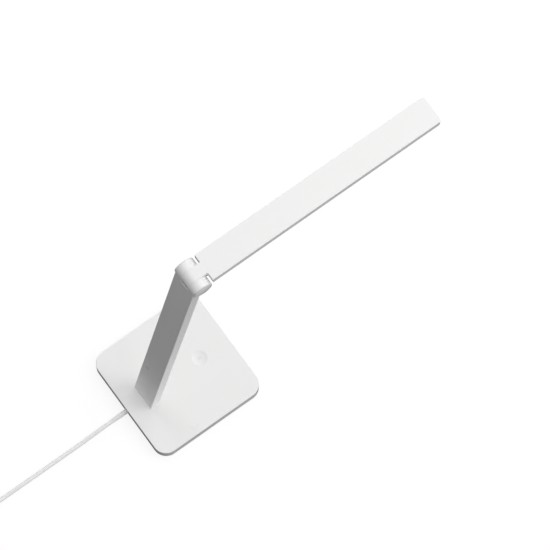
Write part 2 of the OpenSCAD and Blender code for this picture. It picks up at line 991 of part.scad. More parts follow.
coil_count = round(coil_turns * coil_steps);
coil_middle = [for (i = [0:coil_count]) coil_point(i / coil_steps)];
coil_path = concat(
    [coil_middle[0] + [cord_d, 0, 0]],
    coil_middle,
    [coil_middle[coil_count] + [0, cord_d, 0]]
);
run_path = smooth_route(run_route, 2);
tail_path = smooth_route(tail_route, 2);

function length_of(p) = let (legs = [for (i = [1:len(p) - 1]) norm(p[i] - p[i - 1])]) legs * [for (l = legs) 1];

coil_gap = min([for (i = [0:coil_count]) for (j = [i + coil_steps / 2:coil_count])
    norm(coil_middle[i] - coil_middle[j])]) - cord_d;
echo(coil_gap = coil_gap, cord_length = relief_l + length_of(run_path) + length_of(coil_path)
    + length_of(tail_path) + plug_relief_l);

module cord_run() {
    color(white_plastic)
        tube(run_path, cord_r, 8);
}

module cord_coil() {
    color(white_plastic)
        tube(coil_path, cord_r, 6);
}

module cord_tail() {
    color(white_plastic)
        tube(tail_path, cord_r, 8);
}

// Two straps round the coiled cord
module coil_tie() {
    coil_in = coil_r - turn_step * coil_turns / coil_layers - cord_r;
    coil_out = coil_r + cord_r;
    top_z = coil_top + flat_r - tie_grip + tie_t;
    color("dimgray")
        for (angle = [20, 250])
            translate([coil_x, coil_r, 0])
                rotate([0, 0, angle])
                    difference() {
                        translate([coil_in - tie_t, -tie_w / 2, 0])
                            cube([coil_out - coil_in + 2 * tie_t, tie_w, top_z]);
                        translate([coil_in, -tie_w, tie_t])
                            cube([coil_out - coil_in, 2 * tie_w, top_z - 2 * tie_t]);
                    }
}

module in_plug() {
    translate([plug_x, plug_y, plug_z])
        rotate([90, 0, 90])
            children();
}

module plug_relief() {
    color(white_plastic)
        in_plug()
            cylinder(h = plug_relief_l, r1 = cord_r + 0.2, r2 = cord_r + 1.6);
}

// Flat two-pin plug that widens towards its pins
module plug_body() {
    color(white_plastic)
        in_plug()
            translate([0, 0, plug_relief_l])
                hull() {
                    linear_extrude(1)
                        rounded_rect(13, 11, 3, $fn = 24);
                    translate([0, 0, plug_l - 14])
                        linear_extrude(1)
                            rounded_rect(plug_w - 1, plug_t, 3, $fn = 24);
                    translate([0, 0, plug_l - 1])
                        linear_extrude(1)
                            rounded_rect(plug_w, plug_t, 3, $fn = 24);
                }
}

module plug_pins() {
    color(brass)
        in_plug()
            for (side = [-1, 1])
                translate([side * pin_gap / 2, 0, plug_relief_l + plug_l]) {
                    cylinder(h = sleeve_l, r = sleeve_r);
                    translate([0, 0, sleeve_l])
                        cylinder(h = pin_l - sleeve_l - 1, r = pin_r);
                    translate([0, 0, pin_l - 1])
                        cylinder(h = 1, r1 = pin_r, r2 = pin_r - 1);
                }
}

base_cover();
base_weight();
bottom_plate();
bottom_screws();
weight_screws();
base_pad();
touch_dish();
touch_window();
sensor_pad();
touch_board();
touch_screws();
driver_tray();
driver_board();
foot_plate();
foot_plug();
foot_screws();
cord_bush();
cord_clamp();
clamp_screws();
inner_cord();
arm_profile();
arm_lead();
hinge_shaft();
thrust_washer_left();
thrust_washer_right();
disc_springs();
hinge_nut();
end_cap_left();
end_cap_right();
head_housing();
hinge_bush();
head_lead();
led_board();
led_chips();
reflector_tray();
diffuser();
cord_run();
cord_coil();
cord_tail();
coil_tie();
plug_relief();
plug_body();
plug_pins();
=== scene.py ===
"""Looks of a white folding LED desk lamp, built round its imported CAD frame."""

import logging
import math
from dataclasses import dataclass, field
from enum import Enum
from typing import Sequence

import bpy
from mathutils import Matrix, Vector
from mathutils.geometry import convex_hull_2d


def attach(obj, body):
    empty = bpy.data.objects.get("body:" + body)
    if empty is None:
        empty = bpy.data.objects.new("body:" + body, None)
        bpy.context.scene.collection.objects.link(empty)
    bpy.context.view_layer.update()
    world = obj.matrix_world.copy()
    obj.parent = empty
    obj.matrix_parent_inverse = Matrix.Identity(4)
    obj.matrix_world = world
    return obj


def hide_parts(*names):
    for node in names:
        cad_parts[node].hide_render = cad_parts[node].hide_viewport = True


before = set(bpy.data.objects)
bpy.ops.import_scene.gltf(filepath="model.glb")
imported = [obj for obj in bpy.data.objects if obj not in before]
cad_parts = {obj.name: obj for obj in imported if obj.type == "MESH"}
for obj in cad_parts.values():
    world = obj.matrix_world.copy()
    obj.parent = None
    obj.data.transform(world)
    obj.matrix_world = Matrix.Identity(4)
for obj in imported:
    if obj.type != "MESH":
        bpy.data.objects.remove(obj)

LOG = logging.getLogger("lamp")
MM = 0.001
SHARP_ANGLE = math.radians(38)
WHITE = (1.0, 1.0, 1.0, 1.0)
X = Vector((1.0, 0.0, 0.0))
Y = Vector((0.0, 1.0, 0.0))
Z = Vector((0.0, 0.0, 1.0))

Point = tuple[float, float, float]
Colour = tuple[float, float, float]


class Body(Enum):
    """The CAD bodies that a piece can ride on."""

    STAND = "stand"
    HEAD = "head"


class Slot(Enum):
    """Material slots, one named for each kind of new piece."""

    CORD = "cord_white"
    PLUG = "plug_white"
    PINS = "pin_brass"
    TIE = "tie_fabric"
    SCREW = "screw_steel"
    LED = "led_phosphor"


class Section(Enum):
    """What is swept along a path."""

    ROUND = "round"
    STRAP = "strap"


def hand_over(piece: bpy.types.Object, body: Body, slot: Slot, *nodes: str) -> None:
    """Hand a finished piece to the frame and report it.

    Args:
        piece: the piece.
        body: the body that it rides on.
        slot: the piece's material slot; not used.
        *nodes: the CAD nodes that it stands for.
    """
    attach(piece, body.value)
    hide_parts(*nodes)
    LOG.info("%s rides on %s and stands for %s", piece.name, body.value, ", ".join(nodes))


# ------------------------------------------------------------------ finishes


@dataclass(frozen=True)
class Finish:
    """A procedural finish: plain constants, with grain in its roughness and its surface.

    The colour, gloss and metal are constants of the shader. Two noises on Object coordinates give the fine grain
    that catches the light and the slow change of gloss that handling leaves.
    """

    name: str
    colour: Colour
    roughness: float = 0.5
    roughness_swing: float = 0.06
    grain_mm: float = 0.5
    grain_height_mm: float = 0.01
    cloud_mm: float = 30.0
    metallic: float = 0.0
    specular: float = 0.5
    subsurface: float = 0.0
    coat: float = 0.0
    scatter_mm: float = 1.5
    noise_low: float = 0.3
    noise_high: float = 0.7

    def build(self) -> bpy.types.Material:
        """Make the material.

        Returns:
            The new material, with its nodes.
        """
        material = bpy.data.materials.new(self.name)
        material.use_nodes = True
        tree = material.node_tree
        shader = tree.nodes["Principled BSDF"]
        shader.inputs["Base Color"].default_value = (*self.colour, 1.0)
        shader.inputs["Metallic"].default_value = self.metallic
        shader.inputs["Specular IOR Level"].default_value = self.specular
        shader.inputs["Subsurface Weight"].default_value = self.subsurface
        shader.inputs["Subsurface Radius"].default_value = (1.0, 1.0, 1.0)
        shader.inputs["Subsurface Scale"].default_value = self.scatter_mm * MM
        shader.inputs["Coat Weight"].default_value = self.coat
        self._grain(tree, shader)
        return material

    def _noise(self, tree: bpy.types.NodeTree, size_mm: float, detail: float) -> bpy.types.Node:
        """Add a noise whose features are about size_mm across.

        Args:
            tree: the material's nodes.
            size_mm: the size of a feature.
            detail: the noise's octaves.

        Returns:
            The noise node.
        """
        place = tree.nodes.new("ShaderNodeTexCoord")
        noise = tree.nodes.new("ShaderNodeTexNoise")
        noise.inputs["Scale"].default_value = 1.0 / (size_mm * MM)
        noise.inputs["Detail"].default_value = detail
        tree.links.new(place.outputs["Object"], noise.inputs["Vector"])
        return noise

    def _grain(self, tree: bpy.types.NodeTree, shader: bpy.types.Node) -> None:
        """Give the roughness its slow clouds and the surface its fine grain.

        Args:
            tree: the material's nodes.
            shader: the Principled shader.
        """
        cloud = self._noise(tree, self.cloud_mm, 3.0)
        spread = tree.nodes.new("ShaderNodeMapRange")
        spread.inputs["From Min"].default_value = self.noise_low
        spread.inputs["From Max"].default_value = self.noise_high
        spread.inputs["To Min"].default_value = max(0.0, self.roughness - self.roughness_swing)
        spread.inputs["To Max"].default_value = min(1.0, self.roughness + self.roughness_swing)
        tree.links.new(cloud.outputs["Fac"], spread.inputs["Value"])
        tree.links.new(spread.outputs["Result"], shader.inputs["Roughness"])
        grain = self._noise(tree, self.grain_mm, 2.0)
        bump = tree.nodes.new("ShaderNodeBump")
        bump.inputs["Strength"].default_value = 1.0
        bump.inputs["Distance"].default_value = self.grain_height_mm * MM
        tree.links.new(grain.outputs["Fac"], bump.inputs["Height"])
        tree.links.new(bump.outputs["Normal"], shader.inputs["Normal"])


# Name, colour, roughness and its swing, the grain's size and height, and the clouds' size, in millimetres.
SHELL = Finish("satin_white_shell", (0.86, 0.86, 0.855), 0.30, 0.03, 0.35, 0.004, 40.0)
# The end caps take the shell's white made darker (0.78 against 0.86): this is painted shade on the caps' faces,
# not a different plastic.
CAP_PAINTED_SHADE = Finish("satin_white_cap_painted_shade", (0.78, 0.78, 0.775), 0.21, 0.03, 0.35, 0.003, 12.0)
KEY = Finish("touch_key_white", (0.86, 0.86, 0.855), 0.24, 0.03, 0.4, 0.003, 8.0)
WINDOW = Finish("key_light_window", (0.74, 0.75, 0.76), 0.3, 0.03, 0.4, 0.002, 3.0)
OPAL = Finish("opal_diffuser", (0.90, 0.90, 0.88), 0.55, 0.04, 0.6, 0.004, 20.0, subsurface=0.35)
VINYL = Finish("white_vinyl_cord", (0.84, 0.84, 0.835), 0.34, 0.04, 1.6, 0.004, 15.0, subsurface=0.1)
RELIEF = Finish("white_cord_relief", (0.82, 0.82, 0.815), 0.45, 0.05, 1.2, 0.005, 8.0)
PLUG = Finish("white_plug_vinyl", (0.79, 0.79, 0.78), 0.45, 0.06, 0.5, 0.012, 9.0)
FOAM = Finish("grey_foam_pad", (0.045, 0.045, 0.05), 0.95, 0.04, 2.4, 0.04, 12.0, specular=0.2)
ZINC = Finish("zinc_plated_plate", (0.62, 0.63, 0.65), 0.34, 0.09, 0.9, 0.01, 14.0, metallic=1.0)
SCREW = Finish("zinc_plated_screw", (0.58, 0.59, 0.61), 0.27, 0.07, 0.5, 0.006, 4.0, metallic=1.0)
IRON = Finish("cast_iron_weight", (0.09, 0.09, 0.095), 0.7, 0.1, 1.4, 0.12, 16.0, specular=0.3)
BRASS = Finish("machined_brass", (0.78, 0.58, 0.27), 0.28, 0.07, 0.6, 0.006, 6.0, metallic=1.0)
PIN = Finish("nickel_plated_pin", (0.74, 0.70, 0.62), 0.2, 0.05, 0.5, 0.003, 5.0, metallic=1.0)
BOARD = Finish("green_circuit_board", (0.02, 0.12, 0.06), 0.35, 0.06, 0.7, 0.006, 6.0, coat=0.3)
ALUMINIUM = Finish("led_board_white", (0.82, 0.83, 0.84), 0.3, 0.05, 0.5, 0.004, 9.0)
PHOSPHOR = Finish("led_phosphor", (0.86, 0.66, 0.12), 0.4, 0.04, 0.4, 0.004, 3.0)
TRAY = Finish("white_inner_plastic", (0.84, 0.84, 0.83), 0.6, 0.05, 0.5, 0.008, 20.0)
LEAD = Finish("grey_lead", (0.05, 0.05, 0.055), 0.45, 0.05, 0.5, 0.008, 8.0)
STRAP = Finish("dark_strap", (0.03, 0.03, 0.033), 0.85, 0.05, 0.35, 0.15, 6.0, specular=0.25)

CAD_FINISHES: dict[Finish, tuple[str, ...]] = {
    SHELL: ("base_cover", "arm_profile", "head_housing"),
    CAP_PAINTED_SHADE: ("end_cap_left", "end_cap_right"),
    KEY: ("touch_dish",),
    WINDOW: ("touch_window",),
    OPAL: ("diffuser",),
    RELIEF: ("cord_bush", "plug_relief"),
    VINYL: ("inner_cord",),
    FOAM: ("base_pad",),
    ZINC: ("bottom_plate", "foot_plate", "foot_plug"),
    SCREW: (
        "bottom_screws", "weight_screws", "touch_screws", "foot_screws", "clamp_screws",
        "hinge_shaft", "disc_springs", "hinge_nut",
    ),
    IRON: ("base_weight",),
    BRASS: ("thrust_washer_left", "thrust_washer_right", "hinge_bush", "sensor_pad"),
    PIN: ("plug_pins",),
    BOARD: ("touch_board", "driver_board"),
    ALUMINIUM: ("led_board",),
    PHOSPHOR: ("led_chips",),
    TRAY: ("driver_tray", "cord_clamp", "reflector_tray"),
    LEAD: ("arm_lead", "head_lead"),
    STRAP: ("coil_tie",),
    PLUG: ("plug_body",),
}


def dress_cad_nodes(made: dict[Finish, bpy.types.Material]) -> None:
    """Give every carried-over CAD node its finish.

    Args:
        made: the material built from each finish.
    """
    for finish, nodes in CAD_FINISHES.items():
        for node in nodes:
            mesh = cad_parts[node].data
            mesh.materials.clear()
            mesh.materials.append(made[finish])
        LOG.info("%s on %s", finish.name, ", ".join(nodes))


# ------------------------------------------------------------------ studio


@dataclass(frozen=True)
class SoftBox:
    """A square area light that faces the lamp."""

    name: str
    at: Point
    size: float
    watts: float
    aim: Point = (0.05, 0.0, 0.15)


@dataclass
class Studio:
    """Camera, floor and soft lights."""

    lens_mm: float = 257.64
    sensor_mm: float = 36.0
    azimuth: float = -35.83
    elevation: float = 75.0
    camera_at: Point = (-0.5920, -1.0340, 4.9277)
    floor_half: float = 3.3
    floor_z: float = -0.0001
    floor_shade: float = 0.2
    floor_glow: float = 0.83
    floor_bounce: float = 0.03
    fill: float = 0.32
    clip_end: float = 100.0
    boxes: tuple[SoftBox, ...] = (
        SoftBox("key_right", (2.2, -1.6, 2.6), 2.2, 38.0),
        SoftBox("key_left", (2.2, 1.6, 2.6), 2.2, 18.0),
        SoftBox("key", (2.6, 0.0, 2.6), 2.4, 13.5),
        SoftBox("top", (0.3, 0.0, 3.8), 2.6, 25.5),
        SoftBox("front", (0.0, -3.4, 1.0), 1.8, 34.0),
        SoftBox("back", (0.0, 3.4, 1.2), 1.8, 43.0),
        SoftBox("rear", (-2.6, -0.4, 2.6), 2.2, 3.0),
    )

    def camera(self) -> None:
        """Place the camera at the photograph's angle, as far off as its long lens needs."""
        data = bpy.data.cameras.new("camera")
        data.lens = self.lens_mm
        data.sensor_width = self.sensor_mm
        data.clip_end = self.clip_end
        camera = bpy.data.objects.new("camera", data)
        turn, rise = math.radians(self.azimuth), math.radians(self.elevation)
        back = Vector((math.sin(turn) * math.cos(rise), -math.cos(turn) * math.cos(rise), math.sin(rise)))
        camera.location = self.camera_at
        camera.rotation_mode = "QUATERNION"
        camera.rotation_quaternion = (-back).to_track_quat("-Z", "Y")
        bpy.context.scene.collection.objects.link(camera)
        bpy.context.scene.camera = camera

    def soft_box(self, box: SoftBox) -> None:
        """Add one of the lights.

        Args:
            box: the light's place, size and power.
        """
        data = bpy.data.lights.new(box.name, "AREA")
        data.shape = "SQUARE"
        data.size = box.size
        data.energy = box.watts
        light = bpy.data.objects.new(box.name, data)
        light.location = box.at
        light.rotation_mode = "QUATERNION"
        light.rotation_quaternion = (Vector(box.aim) - Vector(box.at)).to_track_quat("-Z", "Y")
        bpy.context.scene.collection.objects.link(light)

    def floor(self) -> None:
        """Lay the floor, which the camera sees as white paper with the lamp's soft shadow on it."""
        mesh = bpy.data.meshes.new("floor")
        half, z = self.floor_half, self.floor_z
        corners = [(-half, -half, z), (half, -half, z), (half, half, z), (-half, half, z)]
        mesh.from_pydata(corners, [], [(0, 1, 2, 3)])
        floor = bpy.data.objects.new("floor", mesh)
        bpy.context.scene.collection.objects.link(floor)
        mesh.materials.append(self.paper())

    def paper(self) -> bpy.types.Material:
        """Make the floor's material.

        It is white paper to the camera, duller to reflections and bounced light, and clear from below, so that the
        lamp's underside shows.

        Returns:
            The material.
        """
        material = bpy.data.materials.new("white_paper")
        material.use_nodes = True
        tree = material.node_tree
        tree.nodes.clear()
        path = tree.nodes.new("ShaderNodeLightPath")
        glow = tree.nodes.new("ShaderNodeEmission")
        glow.inputs["Strength"].default_value = self.floor_glow
        shade = tree.nodes.new("ShaderNodeBsdfDiffuse")
        shade.inputs["Color"].default_value = (*[self.floor_shade] * 3, 1.0)
        bounced = tree.nodes.new("ShaderNodeBsdfDiffuse")
        bounced.inputs["Color"].default_value = (*[self.floor_bounce] * 3, 1.0)
        seen = tree.nodes.new("ShaderNodeAddShader")
        tree.links.new(shade.outputs["BSDF"], seen.inputs[0])
        tree.links.new(glow.outputs["Emission"], seen.inputs[1])
        above = tree.nodes.new("ShaderNodeMixShader")
        tree.links.new(path.outputs["Is Camera Ray"], above.inputs["Fac"])
        tree.links.new(bounced.outputs["BSDF"], above.inputs[1])
        tree.links.new(seen.outputs["Shader"], above.inputs[2])
        side = tree.nodes.new("ShaderNodeNewGeometry")
        clear = tree.nodes.new("ShaderNodeBsdfTransparent")
        either = tree.nodes.new("ShaderNodeMixShader")
        tree.links.new(side.outputs["Backfacing"], either.inputs["Fac"])
        tree.links.new(above.outputs["Shader"], either.inputs[1])
        tree.links.new(clear.outputs["BSDF"], either.inputs[2])
        output = tree.nodes.new("ShaderNodeOutputMaterial")
        tree.links.new(either.outputs["Shader"], output.inputs["Surface"])
        return material

    def world(self) -> None:
        """Fill from all round, and a white backdrop for what the camera sees past the floor."""
        world = bpy.data.worlds.new("studio")
        world.use_nodes = True
        bpy.context.scene.world = world
        tree = world.node_tree
        tree.nodes.clear()
        path = tree.nodes.new("ShaderNodeLightPath")
        fill = tree.nodes.new("ShaderNodeBackground")
        fill.inputs["Color"].default_value = WHITE
        fill.inputs["Strength"].default_value = self.fill
        backdrop = tree.nodes.new("ShaderNodeBackground")
        backdrop.inputs["Color"].default_value = WHITE
        backdrop.inputs["Strength"].default_value = 1.0
        mix = tree.nodes.new("ShaderNodeMixShader")
        tree.links.new(path.outputs["Is Camera Ray"], mix.inputs["Fac"])
        tree.links.new(fill.outputs["Background"], mix.inputs[1])
        tree.links.new(backdrop.outputs["Background"], mix.inputs[2])
        output = tree.nodes.new("ShaderNodeOutputWorld")
        tree.links.new(mix.outputs["Shader"], output.inputs["Surface"])

    def build(self) -> None:
        """Make the whole studio."""
        bpy.context.scene.view_settings.view_transform = "Standard"
        self.camera()
        self.floor()
        self.world()
        for box in self.boxes:
            self.soft_box(box)


# ------------------------------------------------------------------ shapes


def new_object(
    name: str, points: Sequence[Vector], faces: Sequence[Sequence[int]], edges: Sequence[tuple[int, int]] = ()
) -> bpy.types.Object:
    """Link a new mesh object at the origin.

    Args:
        name: its name.
        points: its points in metres.
        faces: its faces, as numbers of points.
        edges: its loose edges.

    Returns:
        The object.
    """
    mesh = bpy.data.meshes.new(name)
    mesh.from_pydata([tuple(p) for p in points], list(edges), list(faces))
    mesh.validate()
    mesh.polygons.foreach_set("use_smooth", [True] * len(mesh.polygons))
    item = bpy.data.objects.new(name, mesh)
    bpy.context.scene.collection.objects.link(item)
    return item


@dataclass
class Shape:
    """Points and faces of a mesh under construction, with the number of each face's finish."""

    points: list[Vector] = field(default_factory=list)
    faces: list[tuple[int, ...]] = field(default_factory=list)
    finishes: list[int] = field(default_factory=list)

    def loft(self, rings: Sequence[Sequence[Vector]], finish: int = 0) -> None:
        """Add a closed skin over rings of equally many points, with a face at each end.

        Args:
            rings: the rings, whose points run anticlockwise seen from ahead.
            finish: the number of its finish.
        """
        start, count = len(self.points), len(rings[0])
        for ring in rings:
            self.points.extend(ring)
        made = [tuple(start + k for k in reversed(range(count)))]
        for i in range(len(rings) - 1):
            low = start + i * count
            for k in range(count):
                n = (k + 1) % count
                made.append((low + k, low + n, low + count + n, low + count + k))
        last = start + (len(rings) - 1) * count
        made.append(tuple(range(last, last + count)))
        self.faces.extend(made)
        self.finishes.extend([finish] * len(made))

    def build(self, name: str, materials: Sequence[bpy.types.Material]) -> bpy.types.Object:
        """Make the object.

        Args:
            name: its name.
            materials: its finishes, in the order of their numbers.

        Returns:
            The object.
        """
        item = new_object(name, self.points, self.faces)
        for material in materials:
            item.data.materials.append(material)
        item.data.polygons.foreach_set("material_index", self.finishes)
        item.data.set_sharp_from_angle(angle=SHARP_ANGLE)
        return item


def round_ring(at: Vector, side: Vector, up: Vector, r: float, count: int = 32) -> list[Vector]:
    """Ring of points on a circle.

    Args:
        at: its middle.
        side: the direction of its first point.
        up: the direction a quarter turn on.
        r: its radius.
        count: the number of points.

    Returns:
        The points.
    """
    turns = [2 * math.pi * k / count for k in range(count)]
    return [at + r * (math.cos(t) * side + math.sin(t) * up) for t in turns]


def pillow_ring(
    at: Vector, side: Vector, up: Vector, size: tuple[float, float], corner: float, count: int = 8
) -> list[Vector]:
    """Ring of points on a rectangle with round corners.

    Args:
        at: its middle.
        side: the direction of its width.
        up: the direction of its height.
        size: its width and height.
        corner: its corners' radius.
        count: the steps round a corner.

    Returns:
        The points.
    """
    ring = []
    for quarter, (x, y) in enumerate(((1, 1), (-1, 1), (-1, -1), (1, -1))):
        middle = at + x * (size[0] / 2 - corner) * side + y * (size[1] / 2 - corner) * up
        for k in range(count + 1):
            t = math.pi / 2 * (quarter + k / count)
            ring.append(middle + corner * (math.cos(t) * side + math.sin(t) * up))
    return ring


# ------------------------------------------------------------------ node trees


class GeometryTree:
    """A geometry node tree under construction, and the object that it is grown on."""

    def __init__(self, name: str) -> None:
        """Start the tree with its way in and its way out.

        Args:
            name: its name.
        """
        self.tree = bpy.data.node_groups.new(name, "GeometryNodeTree")
        face = self.tree.interface
        face.new_socket("Geometry", in_out="INPUT", socket_type="NodeSocketGeometry")
        face.new_socket("Geometry", in_out="OUTPUT", socket_type="NodeSocketGeometry")
        self.entry = self.tree.nodes.new("NodeGroupInput")
        self.values: dict[str, object] = {}

    def value(self, name: str, amount: object, kind: str = "NodeSocketFloat") -> bpy.types.NodeSocket:
        """Add a named input and what it is set to.

        Args:
            name: its name.
            amount: its value.
            kind: its socket's type.

        Returns:
            The socket inside the tree.
        """
        made = self.tree.interface.new_socket(name, in_out="INPUT", socket_type=kind)
        self.values[made.identifier] = amount
        return self.entry.outputs[name]

    def add(self, kind: str, **links: object) -> bpy.types.Node:
        """Add a node; a socket given for one of its inputs is linked, and anything else is set.

        Args:
            kind: the node's type.
            **links: its inputs, by their names with underscores for spaces.

        Returns:
            The node.
        """
        node = self.tree.nodes.new(kind)
        for name, given in links.items():
            target = node.inputs[name.replace("_", " ")]
            if isinstance(given, bpy.types.NodeSocket):
                self.tree.links.new(given, target)
            else:
                target.default_value = given
        return node

    def grow(self, item: bpy.types.Object, grown: bpy.types.NodeSocket, material: bpy.types.Material) -> None:
        """End the tree, run it on an object and leave the object with the plain mesh that came out.

        Args:
            item: the object.
            grown: the socket with what the tree made.
            material: its finish.
        """
        real = self.add("GeometryNodeRealizeInstances", Geometry=grown)
        painted = self.add("GeometryNodeSetMaterial", Geometry=real.outputs["Geometry"], Material=material)
        out = self.tree.nodes.new("NodeGroupOutput")
        self.tree.links.new(painted.outputs["Geometry"], out.inputs["Geometry"])
        modifier = item.modifiers.new(self.tree.name, "NODES")
        modifier.node_group = self.tree
        for identifier, amount in self.values.items():
            modifier[identifier] = amount
        graph = bpy.context.evaluated_depsgraph_get()
        mesh = bpy.data.meshes.new_from_object(item.evaluated_get(graph), depsgraph=graph)
        item.modifiers.remove(modifier)
        item.data = mesh


@dataclass(frozen=True)
class Sweep:
    """A section carried along a path by geometry nodes, in millimetres."""

    name: str
    section: Section
    width: float
    height: float = 0.0
    closed: bool = False
    sides: int = 24
    edge: float = 0.3

    def build(self, path: Sequence[Vector], material: bpy.types.Material) -> bpy.types.Object:
        """Make the swept object.

        Args:
            path: its middle line in metres.
            material: its finish.

        Returns:
            The object.
        """
        count = len(path)
        edges = [(i, i + 1) for i in range(count - 1)]
        if self.closed:
            edges.append((count - 1, 0))
        item = new_object(self.name, path, (), edges)
        tree = GeometryTree(self.name)
        line = tree.add("GeometryNodeMeshToCurve", Mesh=tree.entry.outputs["Geometry"])
        width = tree.value("Width", self.width * MM)
        if self.section is Section.ROUND:
            half = tree.add("ShaderNodeMath")
            half.operation = "MULTIPLY"
            tree.tree.links.new(width, half.inputs[0])
            half.inputs[1].default_value = 0.5
            sides = tree.value("Sides", self.sides, "NodeSocketInt")
            profile = tree.add("GeometryNodeCurvePrimitiveCircle", Resolution=sides, Radius=half.outputs["Value"])
        else:
            height = tree.value("Height", self.height * MM)
            box = tree.add("GeometryNodeCurvePrimitiveQuadrilateral", Width=width, Height=height)
            edge = tree.value("Edge", self.edge * self.height * MM)
            profile = tree.add("GeometryNodeFilletCurve", Curve=box.outputs["Curve"], Radius=edge)
        skin = tree.add(
            "GeometryNodeCurveToMesh", Curve=line.outputs["Curve"], Profile_Curve=profile.outputs["Curve"],
            Fill_Caps=not self.closed,
        )
        smooth = tree.add("GeometryNodeSetShadeSmooth", Geometry=skin.outputs["Mesh"])
        tree.grow(item, smooth.outputs["Geometry"], material)
        return item


@dataclass(frozen=True)
class Row:
    """Equal small parts set at points by geometry nodes."""

    name: str
    places: tuple[Vector, ...]

    def build(self, part: bpy.types.Object, material: bpy.types.Material) -> bpy.types.Object:
        """Set the part at each place and take the part away.

        Args:
            part: the part, built at the origin.
            material: its finish.

        Returns:
            The object with all of them.
        """
        item = new_object(self.name, self.places, ())
        tree = GeometryTree(self.name)
        source = tree.value("Part", part, "NodeSocketObject")
        info = tree.add("GeometryNodeObjectInfo", Object=source)
        spots = tree.add("GeometryNodeMeshToPoints", Mesh=tree.entry.outputs["Geometry"])
        filled = tree.add(
            "GeometryNodeInstanceOnPoints", Points=spots.outputs["Points"], Instance=info.outputs["Geometry"],
        )
        tree.grow(item, filled.outputs["Instances"], material)
        bpy.data.objects.remove(part)
        return item


# ------------------------------------------------------------------ cord


def between(a: Vector, b: Vector, c: Vector, d: Vector, t: float) -> Vector:
    """Smooth point between b and c, with a before and d after them.

    Args:
        a: the point before.
        b: the stretch's start.
        c: the stretch's end.
        d: the point after.
        t: the share of the way from b to c.

    Returns:
        The point.
    """
    return 0.5 * (
        2 * b + (c - a) * t + (2 * a - 5 * b + 4 * c - d) * t * t + (3 * b - a - 3 * c + d) * t * t * t
    )


def smooth_route(route: Sequence[Vector], steps: int) -> list[Vector]:
    """Smooth curve through a route's points.

    Args:
        route: the points.
        steps: the steps between two of them.

    Returns:
        The curve's points.
    """
    ends = [2 * route[0] - route[1], *route, 2 * route[-1] - route[-2]]
    curve = [
        between(*ends[i : i + 4], k / steps)
        for i in range(len(route) - 1)
        for k in range(steps)
    ]
    return [*curve, route[-1]]


@dataclass
class Cord:
    """The mains cord: its straight run, its coil and its tail, in millimetres, as in the CAD source."""

    diameter: float = 5.0
    length: float = 1800.0
    exit: Point = (-80.0, 0.0, 7.0)
    coil_x: float = -320.0
    coil_r: float = 33.0
    turns: float = 8.25
    layers: int = 4
    turn_step: float = 5.6
    layer_step: float = 5.5
    coil_z: float = 1.4 + 2.5 * math.cos(math.radians(30)) - 0.1
    steps: int = 40
    route_steps: int = 6
    climb_turns: float = 0.5
    lead_in: float = 13.0
    run: tuple[Point, ...] = (
        (-92, 0, 7), (-102, 0, 7), (-112, 0, 7), (-124, 0, 5.81), (-138, 0, 4.01), (-154, 0, 2.82), (-172, 0, 2.6),
        (-205, 0, 2.6), (-240, 0, 2.6), (-275, 0, 2.6), (-295, 0, 3.0),
    )
    tail: tuple[Point, ...] = (
        (-353, 46, 18.58), (-353, 58, 13.02), (-352, 72, 6.07), (-348, 87, 2.95), (-339, 102, 2.6),
        (-327, 113, 3.42), (-312, 119, 6), (-305, 120, 6.9), (-300, 120, 6.9), (-294, 120, 6.9),
    )

    def coil_point(self, turns: float) -> Vector:
        """Middle of the coiled cord: it spirals in and out and climbs where the spiral turns back.

        Args:
            turns: how many turns have been laid.

        Returns:
            The point in millimetres.
        """
        per_layer = self.turns / self.layers
        phase = (turns / per_layer) % 2
        inward = phase if phase < 1 else 2 - phase
        r = self.coil_r - self.turn_step * per_layer * inward
        angle = math.radians(-90 - 360 * turns)
        z = self.coil_z
        for k in range(1, self.layers):
            climb = min(max((turns - k * per_layer) / self.climb_turns + 0.5, 0.0), 1.0)
            z += self.layer_step * climb * climb * (3 - 2 * climb)
        return Vector((self.coil_x + r * math.cos(angle), self.coil_r + r * math.sin(angle), z))

    def centreline(self) -> list[Vector]:
        """Points along the whole cord, in metres.

        Returns:
            The points, from the lamp to the plug.
        """
        start, finish = self.coil_point(0.0), self.coil_point(self.turns)
        level = [start + self.lead_in * X, start + self.diameter * X]
        run = smooth_route([*map(Vector, self.run), *level, start], self.route_steps)
        count = round(self.turns * self.steps)
        coil = [self.coil_point(self.turns * i / count) for i in range(1, count)]
        tail = smooth_route([finish, finish + self.diameter * Y, *map(Vector, self.tail)], self.route_steps)
        return [p * MM for p in [*run, *coil, *tail]]

    def build(self, material: bpy.types.Material) -> tuple[bpy.types.Object, list[Vector]]:
        """Make the cord as one tube.

        Args:
            material: its finish.

        Returns:
            The tube and its middle line.
        """
        line = self.centreline()
        tube = Sweep("mains_cord", Section.ROUND, self.diameter).build(line, material)
        hand_over(tube, Body.STAND, Slot.CORD, "cord_run", "cord_coil", "cord_tail")
        return tube, line


